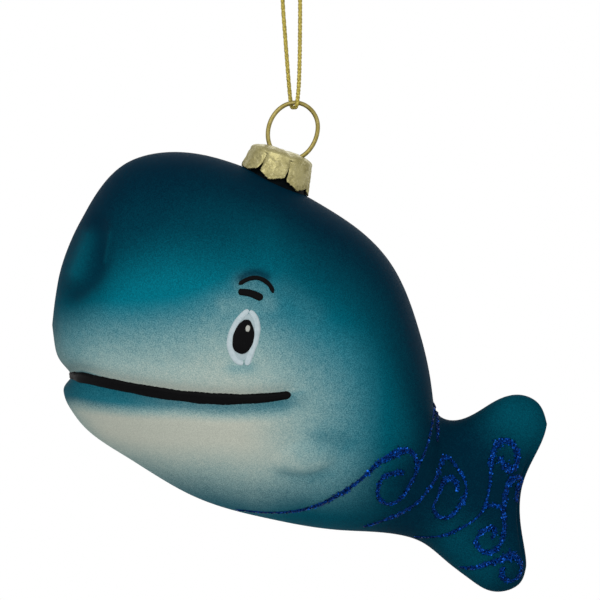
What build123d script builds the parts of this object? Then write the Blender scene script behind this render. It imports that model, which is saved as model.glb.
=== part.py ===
from build123d import *
import os
from functools import lru_cache
from math import cos, hypot, pi, radians, sin, sqrt, tan

# A hanging glass whale with a crown cap, a wire ring and a cord loop.
# Millimetres, Z up. The head points to -X, the tail to +X, and the whale's left side is at -Y.
# The origin is the top of the cord loop, where a hook holds it.

# Whale
whale_length = 94.0
whale_height = 83.4
whale_width = 58.0
glass_wall = 1.0
tail_wall = 2.0
notch_depth = 3.0

# Crown cap, tilted over the tail
cap_tilt = 18.0
cap_sheet = 0.35
cap_shoulder_radius = 5.85
cap_flare = 1.05
cap_skirt = 5.6
cap_dome = 1.2
cap_round = 1.1
cap_seat = 4.75
skirt_gap = 0.3
petal_count = 8
slit_width = 0.5
slit_rise = 3.8
trim_width = 1.3
trim_rise = 2.4

# Glass neck inside the cap
neck_gap = 0.25
neck_wall = 0.8
neck_top_gap = 0.4

# Wire hanger
wire_diameter = 0.85
wire_bend = 0.9
wire_play = 0.3
ring_radius = 4.6
ring_opening = 40.0
ring_rise = 4.96
leg_spread = 5.6
leg_length = 8.5
leg_offset = 0.5

# Cord loop
cord_diameter = 0.85
cord_play = 0.12
loop_drop = 25.63
loop_spread = 3.9
knot_rise = 4.6
knot_height = 3.0
knot_diameter = 2.9
tail_length = 4.4

# Painted layers and the moulded mouth and fins
enamel = 0.2
glitter = 0.45
paint_seat = 0.05
mouth_width = 1.8
mouth_depth = 1.4
mouth_sink = 0.35
brow_width = 0.65
lash_width = 1.15
scroll_width = 1.1
eye_height = 10.6
eye_width = 6.0
pupil_height = 6.8
pupil_width = 3.8
glint_height = 1.5
glint_width = 1.0
eye_lean = 11.0
fin_length = 11.0
fin_width = 4.4
fin_relief = 1.1
fin_lean = 10.0

# Outlines of the side view, from nose to fluke ends, as shares of the whale's length and height.
top_shares = [
    (0.0, 0.607), (0.018, 0.732), (0.069, 0.866), (0.147, 0.973), (0.248, 1.0), (0.389, 0.965),
    (0.56, 0.869), (0.678, 0.756), (0.74, 0.595), (0.775, 0.43), (0.798, 0.392), (0.853, 0.406),
    (0.897, 0.436), (0.944, 0.448), (0.982, 0.427), (0.998, 0.382),
]
low_shares = [
    (0.0, 0.607), (0.016, 0.489), (0.056, 0.386), (0.147, 0.309), (0.288, 0.216), (0.44, 0.166),
    (0.581, 0.14), (0.698, 0.13), (0.744, 0.114), (0.794, 0.071), (0.843, 0.029), (0.883, 0.003),
    (0.92, 0.004), (0.945, 0.022), (0.956, 0.057),
]
# Outline seen from above, as shares of the length and of the half width.
side_shares = [
    (0.0, 0.0), (0.02, 0.40), (0.07, 0.70), (0.16, 0.91), (0.36, 1.0), (0.52, 0.94),
    (0.65, 0.76), (0.74, 0.52), (0.79, 0.37), (0.86, 0.31), (0.93, 0.25), (0.975, 0.09),
]
neck_share = (0.448, 0.939)
pinch_share = 0.5
pinch_start_share = 0.8
hollow_end_share = 0.8808
mouth_shares = [(-0.03, 0.505), (0.105, 0.473), (0.2, 0.453), (0.306, 0.439), (0.39, 0.438), (0.482, 0.449)]
eye_share = (0.386, 0.581)
pupil_share = (0.387, 0.581)
glint_share = (0.394, 0.597)
brow_shares = [(0.379, 0.7), (0.411, 0.715), (0.433, 0.702), (0.444, 0.682)]
lash_shares = [(0.377, 0.681), (0.399, 0.678), (0.423, 0.668)]
fin_share = (0.518, 0.307)
scroll_shares = [
    [(0.395, 0.2), (0.514, 0.205), (0.595, 0.24), (0.665, 0.305), (0.718, 0.325), (0.734, 0.284),
     (0.706, 0.218), (0.661, 0.211), (0.665, 0.261), (0.706, 0.275)],
    [(0.635, 0.165), (0.694, 0.182), (0.762, 0.245), (0.794, 0.309), (0.833, 0.239), (0.794, 0.17),
     (0.766, 0.195), (0.79, 0.255), (0.815, 0.23)],
    [(0.737, 0.142), (0.825, 0.155), (0.871, 0.195), (0.883, 0.289), (0.909, 0.345), (0.938, 0.3), (0.909, 0.291)],
    [(0.942, 0.261), (0.911, 0.209), (0.909, 0.127), (0.869, 0.093), (0.857, 0.127), (0.891, 0.143)],
    [(0.815, 0.075), (0.867, 0.068), (0.919, 0.082), (0.944, 0.057), (0.923, 0.027), (0.905, 0.045)],
    [(0.77, 0.423), (0.758, 0.345), (0.734, 0.282)],
]
section_points = 12
rib_count = 26

# The neck's place follows from the loop, the ring and the cap above it.
tilt = radians(cap_tilt)
half_opening = radians(ring_opening / 2)
cap_axis = Vector(sin(tilt), 0, cos(tilt))
cap_across = Vector(cos(tilt), 0, -sin(tilt))
ring_top = Vector(0, 0, -loop_drop)
ring_centre = ring_top - Vector(0, 0, ring_radius)
arc_end_across = ring_radius * cos(half_opening)
arc_end_drop = ring_radius * sin(half_opening)
bend_drop = arc_end_drop + (arc_end_across - leg_spread / 2) / tan(half_opening)
hole_across = arc_end_across - (ring_rise - arc_end_drop) * tan(half_opening)
hole_rise = cap_dome * (1 - (hole_across / cap_shoulder_radius) ** 2)
cap_centre = ring_centre - cap_across * leg_offset - cap_axis * (ring_rise + hole_rise)
neck_base = cap_centre - cap_axis * cap_seat
neck_radius = cap_shoulder_radius - cap_sheet - neck_gap
corner = neck_base - Vector(neck_share[0] * whale_length, 0, neck_share[1] * whale_height)
cap_plane = Plane(origin=cap_centre, x_dir=cap_across, z_dir=cap_axis)


def spot(share_x, share_z):
    """The place in the side view that lies at these shares of length and height."""
    return corner + Vector(share_x * whale_length, 0, share_z * whale_height)


top_line = Spline(*[spot(*share) for share in top_shares])
low_line = Spline(*[spot(*share) for share in low_shares])
side_line = Spline(*[(x * whale_length, y * whale_width / 2) for x, y in side_shares])


def rib(share):
    """Centre, up direction, half height and half width at a share of the way from nose to tail."""
    top = top_line @ share
    low = low_line @ share
    return (top + low) / 2, (top - low).normalized(), (top - low).length / 2, (side_line @ share).Y


def ramp(share):
    """Rises from zero at the tail root to one at the end of the fluke."""
    return max(0, (share - pinch_start_share) / (1 - pinch_start_share))


def oval(centre, up, half_height, half_width, pinch):
    """A closed oval wire, drawn in at its middle by pinch."""
    points = []
    for step in range(section_points):
        turn = 2 * pi * step / section_points
        wide = half_width * sin(turn) * (1 - pinch * sin(turn) ** 2)
        points.append(centre + up * (half_height * cos(turn)) + Vector(0, wide, 0))
    return Wire([Spline(*points, periodic=True)])


@lru_cache
def form(grow, tail_grow=0, end_share=1):
    """The whale's form, moved out by grow along its normal, by tail_grow more toward the fluke."""
    shares = []
    for step in range(1, rib_count + 1):
        shares.append((1 - cos(pi * step / rib_count)) / 2)
    shares = [share for share in shares if share < end_share] + [end_share]
    rows = [rib(share) for share in shares]
    nose = top_line @ 0
    wires = [Vertex(*(nose + (nose - rows[0][0]).normalized() * grow))]
    for place, (centre, up, half_height, half_width) in enumerate(rows):
        before = rows[max(place - 1, 0)]
        after = rows[min(place + 1, len(rows) - 1)]
        run = (after[0] - before[0]).length
        rise = after[2] - before[2]
        slope = hypot(run, rise)
        step = grow + tail_grow * ramp(shares[place])
        moved = centre - (after[0] - before[0]).normalized() * (step * rise / slope)
        out = step * run / slope
        wires.append(oval(moved, up, half_height + out, half_width + out, pinch_share * ramp(shares[place])))
    return Solid.make_loft(wires)


def stroke(shares, width):
    """A brush stroke of the side view, run out through the whale's left side."""
    line = Spline(*[(spot(*share).X, spot(*share).Z) for share in shares])
    return extrude(Plane.XZ * trace(line, line_width=width), amount=whale_width)


def blot(share, width, height):
    """A leaning oval of the side view, run out through the whale's left side."""
    place = spot(*share)
    return extrude(Plane.XZ * Pos(place.X, place.Z) * Rot(Z=-eye_lean) * Ellipse(width / 2, height / 2),
                   amount=whale_width)


def layer(prism, level, thickness):
    """A coat of the given thickness inside the prism, lying on the coats under it."""
    seat = paint_seat + level * (enamel + paint_seat)
    return (prism & form(seat + thickness)) - form(seat)


def other_side(shape):
    """The same piece on the whale's right side."""
    return mirror(shape, about=Plane.XZ)


def fin():
    """A low blister on the whale's left side."""
    hits = form(0).find_intersection_points(Axis(spot(*fin_share), (0, -1, 0)))
    point, normal = min(hits, key=lambda hit: hit[0].Y)
    bump = scale(Sphere(1), by=(fin_length / 2, fin_width / 2, fin_relief))
    return Plane(origin=point, x_dir=normal.cross(Vector(0, 0, 1)), z_dir=normal) * Rot(Z=fin_lean) * bump


def glass_body():
    """The blown shell with its neck, mouth crease, low side fins and fluke notch."""
    crease = stroke(mouth_shares, mouth_width)
    crease = crease + other_side(crease)
    pocket = stroke(mouth_shares, mouth_width + 2 * glass_wall)
    pocket = pocket + other_side(pocket)
    outer = form(0)
    cavity = form(-glass_wall, -tail_wall, hollow_end_share)
    neck_low = cap_seat + 2 * glass_wall
    neck_top = cap_sheet + neck_top_gap
    neck = extrude(Pos(Z=-neck_low) * Circle(neck_radius), amount=neck_low - neck_top)
    bore = extrude(Pos(Z=-2 * neck_low) * Circle(neck_radius - neck_wall), amount=2 * neck_low)
    shell = outer + cap_plane * neck + fin() + other_side(fin())
    shell = shell - (crease - form(-mouth_depth))
    shell = shell - (cavity - (pocket - form(-mouth_depth - glass_wall)))
    shell = shell - cap_plane * bore
    return shell - fluke_notch()


def fluke_notch():
    """The shallow bay in the trailing edge, an arc of the whole fluke's height."""
    upper = top_line @ 1
    lower = low_line @ 1
    half_chord = (upper - lower).length / 2
    arc_radius = (half_chord ** 2 + notch_depth ** 2) / (2 * notch_depth)
    out = Vector(1, 0, 0) * (upper - lower).normalized().Z - Vector(0, 0, 1) * (upper - lower).normalized().X
    centre = (upper + lower) / 2 + out * (arc_radius - notch_depth)
    return extrude(Plane.XZ * Pos(centre.X, centre.Z) * Circle(arc_radius), amount=whale_width, both=True)


def mouth_line():
    """Black enamel lying in the mouth crease."""
    band = stroke(mouth_shares, mouth_width - 2 * paint_seat)
    band = band + other_side(band)
    return (band & form(-mouth_sink)) - form(paint_seat - mouth_depth)


def crown_cap():
    """A pressed cup with a domed top, two wire holes and a flared skirt of petals that end just over the glass."""
    skirt_radius = cap_shoulder_radius + cap_flare
    inner_radius = cap_shoulder_radius - cap_sheet
    dome_radius = (cap_shoulder_radius ** 2 + cap_dome ** 2) / (2 * cap_dome)

    def dome(radius, depth):
        return radius, cap_dome - dome_radius + sqrt((dome_radius - depth) ** 2 - radius ** 2)

    outline = [
        ThreePointArc(dome(0, 0), dome(cap_shoulder_radius / 2, 0), dome(cap_shoulder_radius, 0)),
        Line(dome(cap_shoulder_radius, 0), (skirt_radius, -cap_skirt)),
        Line((skirt_radius, -cap_skirt), (skirt_radius - cap_sheet, -cap_skirt)),
        Line((skirt_radius - cap_sheet, -cap_skirt), dome(inner_radius, cap_sheet)),
        ThreePointArc(dome(inner_radius, cap_sheet), dome(inner_radius / 2, cap_sheet), dome(0, cap_sheet)),
        Line(dome(0, cap_sheet), dome(0, 0)),
    ]
    face = make_face(outline)
    shoulder = face.vertices().sort_by_distance((cap_shoulder_radius, 0))[0]
    face = fillet(shoulder, cap_round)
    hollow = face.vertices().sort_by_distance(dome(inner_radius, cap_sheet))[0]
    face = fillet(hollow, cap_round - cap_sheet)
    cup = revolve(Plane.XZ * face, Axis.Z)
    slit = make_face(Polyline(
        (0, slit_rise - cap_skirt), (slit_width / 2, trim_rise - cap_skirt), (trim_width, -cap_skirt),
        (-trim_width, -cap_skirt), (-slit_width / 2, trim_rise - cap_skirt), close=True))
    slit = extrude(Plane.XZ * slit, amount=2 * skirt_radius)
    for number in range(petal_count):
        cup = cup - Rot(Z=360 * (number + 1 / 2) / petal_count) * slit
    slanted_wire = wire_diameter / 2 / cos(half_opening) + cap_sheet / 2 * tan(half_opening)
    for side in (-1, 1):
        hole = Pos(leg_offset + side * hole_across, 0, 0) * Circle(slanted_wire + wire_play)
        cup = cup - extrude(hole, amount=cap_dome)
    return cap_plane * cup - form(skirt_gap)


def hanger_wire():
    """A ring with two legs that go down through the cap into the neck."""
    def at(across, along):
        return ring_centre + cap_across * across + cap_axis * along

    half = leg_spread / 2
    foot = -bend_drop - leg_length
    left = FilletPolyline(at(-half, foot), at(-half, -bend_drop), at(-arc_end_across, -arc_end_drop), radius=wire_bend)
    over = ThreePointArc(at(-arc_end_across, -arc_end_drop), at(0, ring_radius), at(arc_end_across, -arc_end_drop))
    right = FilletPolyline(at(arc_end_across, -arc_end_drop), at(half, -bend_drop), at(half, foot), radius=wire_bend)
    path = Wire(left.edges() + over.edges() + right.edges())
    return sweep(Plane(path @ 0, z_dir=path % 0) * Circle(wire_diameter / 2), path=path)


def cord_route():
    """Route of the cord from tail to tail, with the bend radius at every inner point."""
    beside = (wire_diameter + cord_diameter) / 2 + cord_play
    strand = (cord_diameter + cord_play) / 2
    half = loop_spread / 2
    knot_top = knot_rise + knot_height
    right = [
        ring_top + Vector(beside * 0.55, -beside * 0.55, -beside),
        ring_top + Vector(beside, -beside, -beside / 3),
        Vector(half, -strand, 0),
        Vector(strand, 0, knot_rise),
        Vector(strand, 0, knot_top),
        Vector(strand + tail_length / 4, -tail_length / 4, knot_top + tail_length),
    ]
    left = [Vector(-point.X, -point.Y, point.Z) for point in reversed(right)]
    route = left + right
    radii = []
    for before, here, after in zip(route, route[1:], route[2:]):
        turn = radians((here - before).get_angle(after - here))
        shorter = min((here - before).length, (after - here).length)
        radii.append(min(0.45 * shorter / tan(turn / 2), loop_drop))
    return route, radii


def hanging_cord():
    """One tube along the route."""
    route, radii = cord_route()
    path = FilletPolyline(*route, radius=radii)
    print("cord length", path.length, "bend radii", [round(radius, 2) for radius in radii])
    tube = sweep(Plane(path @ 0, z_dir=path % 0) * Circle(cord_diameter / 2), path=path)
    print("cord volume", tube.volume, "section times length", pi * cord_diameter ** 2 / 4 * path.length)
    return tube


def cord_knot():
    """A tight barrel knot round both strands."""
    wraps = 3
    pitch = knot_height / wraps
    bulge = pitch * 0.55
    knot = extrude(Pos(Z=knot_rise + pitch / 2) * Circle(knot_diameter / 2 - bulge), amount=knot_height - pitch)
    for number in range(wraps):
        knot = knot + Pos(Z=knot_rise + pitch * (number + 1 / 2)) * Torus(knot_diameter / 2 - bulge, bulge)
    return knot


brow = [layer(stroke(brow_shares, brow_width), 0, enamel), layer(stroke(lash_shares, lash_width), 0, enamel)]
painted = {
    "eye_white": [layer(blot(eye_share, eye_width, eye_height), 0, enamel)],
    "eye_pupil": [layer(blot(pupil_share, pupil_width, pupil_height), 1, enamel)],
    "eye_glint": [layer(blot(glint_share, glint_width, glint_height), 2, enamel)],
    "brow": brow,
    "glitter": [layer(stroke(shares, scroll_width), 0, glitter) for shares in scroll_shares],
}
pieces = {
    "glass_body": [glass_body()],
    "mouth_line": [mouth_line()],
    "crown_cap": [crown_cap()],
    "hanger_wire": [hanger_wire()],
    "hanging_cord": [hanging_cord()],
    "cord_knot": [cord_knot()],
}
for name, shapes in painted.items():
    pieces[name + "_left"] = shapes
    pieces[name + "_right"] = [other_side(shape) for shape in shapes]

os.makedirs("parts", exist_ok=True)
for name, shapes in pieces.items():
    solids = [solid for shape in shapes for solid in shape.solids()]
    export_step(Compound(children=solids) if len(solids) > 1 else solids[0], f"parts/{name}.step")
    print(name, len(solids), "solids", round(sum(solid.volume for solid in solids), 2), "cubic millimetres")
print("glass centre of mass", pieces["glass_body"][0].center(CenterOf.MASS))
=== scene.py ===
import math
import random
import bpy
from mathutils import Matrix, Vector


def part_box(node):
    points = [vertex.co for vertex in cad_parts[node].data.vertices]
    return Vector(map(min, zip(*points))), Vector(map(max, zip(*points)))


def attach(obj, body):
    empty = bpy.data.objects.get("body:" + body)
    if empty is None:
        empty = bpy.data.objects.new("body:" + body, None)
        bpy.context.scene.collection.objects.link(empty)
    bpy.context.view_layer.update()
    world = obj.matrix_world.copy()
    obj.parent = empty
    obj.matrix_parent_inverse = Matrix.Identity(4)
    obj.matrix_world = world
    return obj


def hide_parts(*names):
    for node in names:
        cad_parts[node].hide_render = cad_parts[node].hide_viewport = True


bl_info = {
    "name": "Glass Whale Ornament",
    "version": (1, 0, 0),
    "blender": (4, 5, 0),
    "location": "View3D > Sidebar > Ornament",
    "description": "Dresses a blown-glass whale ornament with lacquer, enamel, glitter, cap, wire and cord",
    "category": "Object",
}

import bmesh
import bpy
import numpy as np
from bpy.props import FloatProperty, FloatVectorProperty, IntProperty, PointerProperty
from mathutils import Vector, noise
from mathutils.bvhtree import BVHTree

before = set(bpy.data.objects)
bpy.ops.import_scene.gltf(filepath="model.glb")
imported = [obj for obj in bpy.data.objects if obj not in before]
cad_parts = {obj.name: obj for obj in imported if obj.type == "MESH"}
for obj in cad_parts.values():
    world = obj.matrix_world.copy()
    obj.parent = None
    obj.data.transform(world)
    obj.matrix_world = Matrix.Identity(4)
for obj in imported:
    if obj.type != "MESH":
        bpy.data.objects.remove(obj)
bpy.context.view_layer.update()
SHELL_LOW, SHELL_HIGH = (Vector(corner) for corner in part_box("glass_body"))
MM = 0.001
SIDES = (("left", -1), ("right", 1))

# Rows and columns of the shell's mesh, how far its columns crowd at the sides, the rows round the flukes' edge,
# the points along a smooth line, and the opening that the shell leaves under the cap.
ROWS, COLUMNS = 300, 400
CROWDING = 0.16
EDGE_STEPS = 6
FINE_STEPS = 2000
OUTLINE_STEPS = 1200
NECK_BORE = 4.9 * MM
NECK_REACH = 12 * MM
# Where rays towards the whale start, and a point inside its head.
BESIDE = 0.08
HEAD_MIDDLE = Vector((-0.02, 0, -0.08))
# Shares of the cord's radius: its core, one yarn, how far a yarn goes over and under, and a frayed fibre.
CORE_SHARE = 0.72
YARN_SHARE = 0.30
WEAVE_SHARE = 0.09
FIBRE_SHARE = 0.09
FRAYED_FIBRES = 22

# Outlines of the side view, from nose to fluke ends, as shares of the whale's length and height.
TOP_SHARES = [
    (0.0, 0.607), (0.018, 0.732), (0.069, 0.866), (0.147, 0.973), (0.248, 1.0), (0.389, 0.965),
    (0.56, 0.869), (0.678, 0.756), (0.74, 0.595), (0.767, 0.45), (0.7825, 0.399), (0.7985, 0.391),
    (0.853, 0.406), (0.897, 0.436), (0.944, 0.448), (0.982, 0.427), (0.998, 0.382),
]
LOW_SHARES = [
    (0.0, 0.607), (0.016, 0.489), (0.056, 0.386), (0.147, 0.309), (0.288, 0.216), (0.44, 0.166),
    (0.581, 0.14), (0.698, 0.13), (0.744, 0.114), (0.794, 0.071), (0.843, 0.029), (0.883, 0.003),
    (0.92, 0.004), (0.945, 0.022), (0.956, 0.057),
]
# Outline seen from above, as shares of the length and of the half width.
SIDE_SHARES = [
    (0.0, 0.0), (0.02, 0.4), (0.07, 0.7), (0.16, 0.91), (0.36, 1.0), (0.52, 0.94), (0.65, 0.76),
    (0.74, 0.52), (0.79, 0.37), (0.86, 0.31), (0.93, 0.25), (0.975, 0.09),
]
# How much the tail narrows, where along the way that starts, the rounding of the flukes' edge, the depth
# of the bay between the flukes, and how sharply it curls over and under its middle.
PINCH = 0.5
PINCH_START = 0.8
EDGE_ROUND = 0.9 * MM
FLUKE_BAY = 3.0 * MM
FLUKE_CURLS = (4.5, 3.2)
# Moulded and painted features of the side view, in the same shares. The mouth's height is a cubic of the
# length.
CROWN = (0.198, 0.991)
MOUTH_CURVE = (0.761, -0.093, -0.2445, 0.5042)
MOUTH_END = 0.482
FACE_GROOVE = [(0.096, 0.837), (0.096, 0.798), (0.099, 0.756), (0.087, 0.718), (0.046, 0.676)]
FACE_BULGE = [(0.078, 0.805), (0.064, 0.764), (0.051, 0.725)]
FACE_STREAK = [(0.119, 0.816), (0.113, 0.785), (0.107, 0.753)]
FIN = (0.51, 0.302)
DIMPLE = (0.588, 0.341)
FIN_SHADE = [(0.54, 0.356), (0.565, 0.35), (0.592, 0.337)]
FIN_LIGHT = [(0.454, 0.305), (0.5, 0.291), (0.54, 0.296)]
FIN_CREASE = [(0.468, 0.277), (0.495, 0.269), (0.522, 0.267), (0.548, 0.275)]
BROW = [
    (0.3775, 0.6985), (0.394, 0.7095), (0.414, 0.7135), (0.432, 0.705), (0.4425, 0.692),
    (0.4465, 0.679),
]
LASH = [(0.3765, 0.682), (0.3995, 0.679), (0.4255, 0.6665)]
EYE = (0.386, 0.58)
EYE_STROKES = [
    [(0.3968, 0.641), (0.3785, 0.6195), (0.365, 0.5915), (0.361, 0.565), (0.366, 0.541),
     (0.376, 0.5255), (0.3865, 0.521)],
    [(0.4, 0.639), (0.4095, 0.6255), (0.4145, 0.604), (0.4115, 0.578), (0.4045, 0.5545),
     (0.398, 0.532), (0.3932, 0.5175)],
]

UPPER_LOBE = [(0.93, 0.405), (0.955, 0.385)]
LOWER_LOBE = [(0.818, 0.112), (0.856, 0.064)]
BROW_LIGHT = [(0.385, 0.695), (0.415, 0.69), (0.437, 0.655)]
BROW_SHADE = [(0.383, 0.713), (0.397, 0.722), (0.414, 0.725), (0.433, 0.716)]
LID_LIGHT = [(0.345, 0.655), (0.375, 0.655), (0.4, 0.65)]
UNDER_EYE = [(0.365, 0.51), (0.40, 0.512)]
EYE_HAZE = [(0.465, 0.68), (0.492, 0.66), (0.525, 0.63)]
PUPIL = (0.3875, 0.5815)
GLINT = (0.3955, 0.599)

# Slits between the cap's petals, in degrees round from the whale's left, how far down each petal ends in
# millimetres, the edge of one petal, and half the ring's breadth and height.
SLITS = [-28, 19.5, 77, 118, 157, 197, 237, 277, 332]
PETAL_ENDS = [5.1, 5.6, 6.6, 5.8, 5.1, 4.8, 4.6, 4.7]
PETAL_EDGE = [(0.0, 0.79), (0.42, 1.0), (0.93, 0.8), (1.0, 0.54)]
OVAL = (4.57 * MM, 5.5 * MM)
# Outline of the glass neck, as radius and level in millimetres from the cap's shoulder.
NECK = [
    (4.45, -7.6), (4.45, -0.95), (4.6, -0.78), (4.95, -0.76), (5.2, -0.95), (5.25, -3.2),
    (5.5, -3.8), (5.9, -4.4), (6.35, -5.2), (6.7, -6.2), (6.7, -7.6),
]

# Glitter scrolls of one side, and the widths of their lines in millimetres, evenly along each.
SCROLLS = [
    [(0.371, 0.189), (0.433, 0.183), (0.514, 0.192), (0.595, 0.236), (0.633, 0.27), (0.665, 0.302),
     (0.694, 0.318), (0.718, 0.324), (0.733, 0.302), (0.734, 0.28), (0.722, 0.25), (0.706, 0.22),
     (0.681, 0.203), (0.661, 0.211), (0.656, 0.234), (0.665, 0.261), (0.69, 0.273), (0.708, 0.274)],
    [(0.627, 0.15), (0.665, 0.164), (0.726, 0.198), (0.746, 0.218), (0.762, 0.243), (0.776, 0.27),
     (0.794, 0.309), (0.81, 0.292), (0.825, 0.268), (0.834, 0.234), (0.823, 0.2), (0.808, 0.18),
     (0.79, 0.17), (0.772, 0.181), (0.767, 0.193), (0.774, 0.214), (0.783, 0.239), (0.794, 0.258),
     (0.804, 0.261), (0.815, 0.245), (0.815, 0.23)],
    [(0.73, 0.127), (0.762, 0.127), (0.796, 0.133), (0.825, 0.148), (0.853, 0.168), (0.869, 0.189),
     (0.877, 0.216), (0.882, 0.25), (0.884, 0.286), (0.889, 0.318), (0.901, 0.341), (0.917, 0.344),
     (0.931, 0.332), (0.938, 0.309), (0.935, 0.289), (0.925, 0.277), (0.912, 0.289), (0.899, 0.307)],
    [(0.869, 0.193), (0.891, 0.198), (0.913, 0.191)],
    [(0.946, 0.261), (0.925, 0.255), (0.915, 0.234), (0.911, 0.209), (0.91, 0.175), (0.911, 0.145),
     (0.905, 0.116), (0.891, 0.095), (0.875, 0.091), (0.86, 0.101), (0.854, 0.116), (0.861, 0.132),
     (0.875, 0.144), (0.889, 0.147), (0.892, 0.134), (0.885, 0.123)],
    [(0.947, 0.258), (0.939, 0.238), (0.9365, 0.204)],
    [(0.821, 0.058), (0.853, 0.057), (0.879, 0.066), (0.905, 0.074), (0.923, 0.083), (0.94, 0.075),
     (0.946, 0.057), (0.94, 0.036), (0.925, 0.026), (0.911, 0.032), (0.904, 0.045), (0.913, 0.055)],
    [(0.772, 0.432), (0.768, 0.405), (0.761, 0.364), (0.753, 0.33), (0.742, 0.3), (0.73, 0.275)],
    [(0.775, 0.414), (0.776, 0.373), (0.775, 0.343)],
]
SCROLL_WIDTHS = [
    [0.45, 0.5, 0.55, 0.75, 0.95, 1.1, 1.5, 1.15, 1.5, 1.9, 1.1, 0.95, 0.95, 0.75, 0.85, 0.95, 1.5],
    [0.4, 0.75, 0.95, 0.95, 0.75, 0.55, 0.95, 1.3, 1.1, 0.75, 0.7, 0.35, 1.1, 0.75, 0.95, 0.55,
     0.55, 1.3, 1.2, 0.5],
    [0.3, 0.3, 0.55, 0.75, 0.45, 0.4, 0.75, 0.6, 0.6, 0.95, 1.5, 1.8, 1.5, 1.15, 1.2, 1.6, 1.6, 1.1],
    [0.9, 0.95, 0.9],
    [1.3, 1.7, 1.3, 0.9, 1.1, 1.1, 0.9, 0.9, 1.2, 1.1, 1.0, 0.8, 1.2, 1.0, 0.8],
    [1.5, 1.7, 1.2],
    [0.4, 0.8, 1.2, 1.3, 1.8, 1.2, 1.0, 1.1, 1.3, 1.2],
    [0.45, 0.45, 0.45, 0.5, 0.7],
    [0.7, 1.05, 0.6],
]


class WhaleSettings(bpy.types.PropertyGroup):
    """Sizes and colours of the glass whale and its painted face."""

    length: FloatProperty(name="Length", description="Nose to fluke tip", default=0.094, unit="LENGTH")
    height: FloatProperty(name="Height", description="Lower fluke tip to crown",
                          default=0.0834, unit="LENGTH")
    width: FloatProperty(name="Width", description="Across the cheeks", default=0.058, unit="LENGTH")
    mouth_depth: FloatProperty(name="Mouth depth", description="Depth of the mouth crease at the front",
                               default=0.0021, unit="LENGTH")
    fin_relief: FloatProperty(name="Fin relief", description="Height of the side fin",
                              default=0.0011, unit="LENGTH")
    enamel: FloatProperty(name="Enamel", description="Thickness of a brushed coat",
                          default=0.00022, unit="LENGTH")
    navy: FloatVectorProperty(name="Back", description="Sprayed colour of the back",
                              subtype="COLOR", size=4,
                              default=(0.0006, 0.018, 0.038, 1.0))
    teal: FloatVectorProperty(name="Sides", description="Sprayed colour of the sides",
                              subtype="COLOR", size=4,
                              default=(0.0012, 0.171, 0.236, 1.0))
    cream: FloatVectorProperty(name="Belly", description="Colour of the belly and lips",
                               subtype="COLOR", size=4,
                               default=(0.52, 0.55, 0.472, 1.0))
    black: FloatVectorProperty(name="Line enamel", description="Enamel of mouth, pupils and brows",
                               subtype="COLOR",
                               size=4, default=(0.0022, 0.0022, 0.0026, 1.0))
    white: FloatVectorProperty(name="Eye enamel", description="Enamel of the eyes", subtype="COLOR", size=4,
                               default=(0.46, 0.55, 0.58, 1.0))
    glint: FloatVectorProperty(name="Glint enamel", description="Enamel of the dot in each pupil",
                               subtype="COLOR",
                               size=4, default=(0.46, 0.46, 0.40, 1.0))


class GlitterSettings(bpy.types.PropertyGroup):
    """Sizes and colours of the glitter scrolls."""

    width: FloatProperty(name="Line width", description="Scale of the glued lines' widths", default=1.0)
    height: FloatProperty(name="Line height", description="Height of a glued line",
                          default=0.0002, unit="LENGTH")
    flake: FloatProperty(name="Flake", description="Radius of a glitter flake",
                         default=0.00017, unit="LENGTH")
    density: FloatProperty(name="Density", description="Flakes per square millimetre", default=26.0)
    seed: IntProperty(name="Seed", description="Start of the random numbers", default=7)
    blue: FloatVectorProperty(name="Blue", description="Colour of the flakes", subtype="COLOR", size=4,
                              default=(0.0013, 0.042, 0.245, 1.0))
    glue: FloatVectorProperty(name="Glue", description="Colour of the tinted glue", subtype="COLOR", size=4,
                              default=(0.0004, 0.009, 0.045, 1.0))


class FittingSettings(bpy.types.PropertyGroup):
    """Sizes and colours of the crown cap and its wire."""

    tilt: FloatProperty(name="Tilt", description="Lean of the cap over the tail", default=math.radians(18),
                        subtype="ANGLE")
    shoulder: FloatProperty(name="Shoulder radius", description="Radius at the cap's shoulder",
                            default=0.00602,
                            unit="LENGTH")
    flare: FloatProperty(name="Flare", description="How much wider the skirt ends",
                         default=0.00105, unit="LENGTH")
    skirt: FloatProperty(name="Skirt", description="Shoulder to skirt end", default=0.0056, unit="LENGTH")
    dome: FloatProperty(name="Dome", description="Height of the domed top", default=0.0012, unit="LENGTH")
    sheet: FloatProperty(name="Sheet", description="Thickness of the pressed sheet",
                         default=0.00032, unit="LENGTH")
    round: FloatProperty(name="Shoulder round", description="Rounding of the shoulder",
                         default=0.0011, unit="LENGTH")
    wire: FloatProperty(name="Wire", description="Wire diameter", default=0.00085, unit="LENGTH")
    ring: FloatProperty(name="Ring radius", description="Radius of the ring's centre line", default=0.0046,
                        unit="LENGTH")
    opening: FloatProperty(name="Ring opening", description="Angle left open at the ring's foot",
                           default=math.radians(40), subtype="ANGLE")
    rise: FloatProperty(name="Ring rise", description="Ring's centre over the cap's holes", default=0.00496,
                        unit="LENGTH")
    offset: FloatProperty(name="Leg offset", description="How far the ring stands off the cap's middle",
                          default=0.0005, unit="LENGTH")
    legs: FloatProperty(name="Leg spread", description="Distance between the legs",
                        default=0.0056, unit="LENGTH")
    leg_length: FloatProperty(name="Leg length", description="Length of a leg below its bend",
                              default=0.0085,
                              unit="LENGTH")
    sheet_gold: FloatVectorProperty(name="Sheet gold", description="Colour of the cap",
                                    subtype="COLOR", size=4,
                                    default=(0.34, 0.305, 0.142, 1.0))
    wire_gold: FloatVectorProperty(name="Wire gold", description="Colour of the wire",
                                   subtype="COLOR", size=4,
                                   default=(0.225, 0.18, 0.046, 1.0))


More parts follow.
